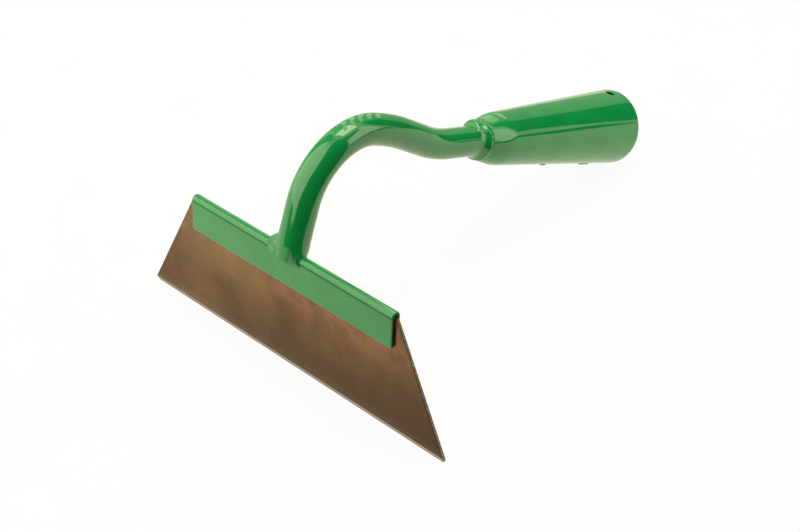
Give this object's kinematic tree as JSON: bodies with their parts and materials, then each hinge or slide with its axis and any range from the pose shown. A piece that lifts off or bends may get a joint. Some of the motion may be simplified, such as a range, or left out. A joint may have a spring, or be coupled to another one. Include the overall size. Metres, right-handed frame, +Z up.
{
  "type": "draw hoe head",
  "caption": "Draw hoe head: a wide trapezoid blade with a ground edge in a folded clip, on an arched round neck that ends in a tapered socket for a wooden handle.",
  "frame": {"origin": "on the level surface the head lies on, below the middle of its box", "axes": "+X along the cutting edge, +Y from the blade towards the socket's mouth, +Z up; the head rests on its cutting edge and on the lower rim of the mouth"},
  "size_m": [0.1974, 0.262, 0.1184],
  "materials": {
    "green_paint": "gloss green enamel",
    "painted_weld": "gloss green enamel over a rippled weld bead",
    "tempered_steel": "satin, brown temper oxide, with a bright ground edge",
    "weld_metal": "bare weld metal, hidden between the sheets"
  },
  "bodies": {
    "root": {"blade": "tempered_steel", "blade_holder": "green_paint", "spot_welds": "weld_metal", "neck": "green_paint", "foot_weld_front": "painted_weld", "foot_weld_rear": "painted_weld", "handle_socket": "green_paint", "socket_weld": "painted_weld", "seam_welds": "painted_weld"}
  },
  "joints": []
}
